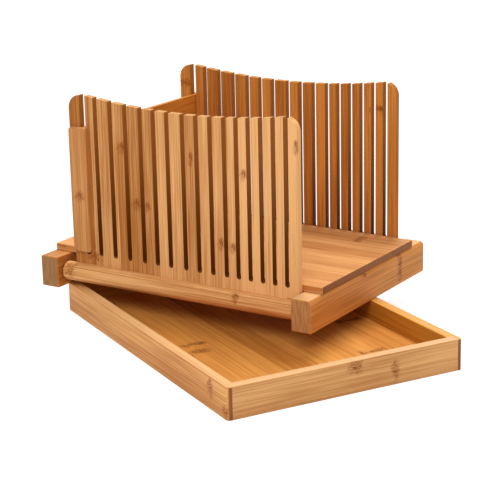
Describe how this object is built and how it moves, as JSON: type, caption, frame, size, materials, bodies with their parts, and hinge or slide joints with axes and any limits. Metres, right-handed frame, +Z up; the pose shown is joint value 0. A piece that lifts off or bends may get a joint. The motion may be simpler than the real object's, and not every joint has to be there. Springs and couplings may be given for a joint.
{
  "type": "bread_slicer_guide",
  "caption": "Bamboo bread slicer guide with slotted hinged sides and a sliding end board, standing across a loose crumb tray",
  "frame": {"origin": "middle of the whole part's bounding box, on the table under the tray", "axes": "+X along the slotted panels to the right, +Y away from the viewer across the slicer, +Z up"},
  "size_m": [0.3936, 0.3406, 0.2031],
  "materials": {
    "bamboo_panel": "satin oiled",
    "bamboo_base": "satin oiled",
    "bamboo_bar": "satin oiled",
    "bamboo_tray": "satin oiled",
    "bamboo_floor": "satin oiled",
    "hinge_pin": "drawn"
  },
  "bodies": {
    "crumb_tray": {"tray_near_wall": "bamboo_tray", "tray_far_wall": "bamboo_tray", "tray_left_wall": "bamboo_tray", "tray_right_wall": "bamboo_tray", "tray_floor": "bamboo_floor"},
    "slicer_base": {"left_rail": "bamboo_base", "right_rail": "bamboo_base", "base_board": "bamboo_base", "board_pegs": "bamboo_base", "near_left_pin": "hinge_pin", "near_right_pin": "hinge_pin", "far_left_pin": "hinge_pin", "far_right_pin": "hinge_pin"},
    "near_side": {"near_panel": "bamboo_panel", "near_hinge_bar": "bamboo_bar", "near_cleat": "bamboo_panel"},
    "far_side": {"far_panel": "bamboo_panel", "far_hinge_bar": "bamboo_bar", "far_cleat": "bamboo_panel"},
    "end_stop": {"end_board": "bamboo_panel"}
  },
  "joints": [
    {"name": "slicer_lift", "type": "slide", "parent": "crumb_tray", "child": "slicer_base", "axis": [0, 0, 1], "range_m": [0, 0.25]},
    {"name": "near_fold", "type": "hinge", "parent": "slicer_base", "child": "near_side", "pos_m": [-0.05532, -0.0237, 0.041], "axis": [1, 0, 0], "range_deg": [0, 90]},
    {"name": "far_fold", "type": "hinge", "parent": "slicer_base", "child": "far_side", "pos_m": [-0.05532, 0.1565, 0.041], "axis": [-1, 0, 0], "range_deg": [0, 90]},
    {"name": "end_board_lift", "type": "slide", "parent": "slicer_base", "child": "end_stop", "axis": [0, 0, 1], "range_m": [0, 0.16]}
  ]
}
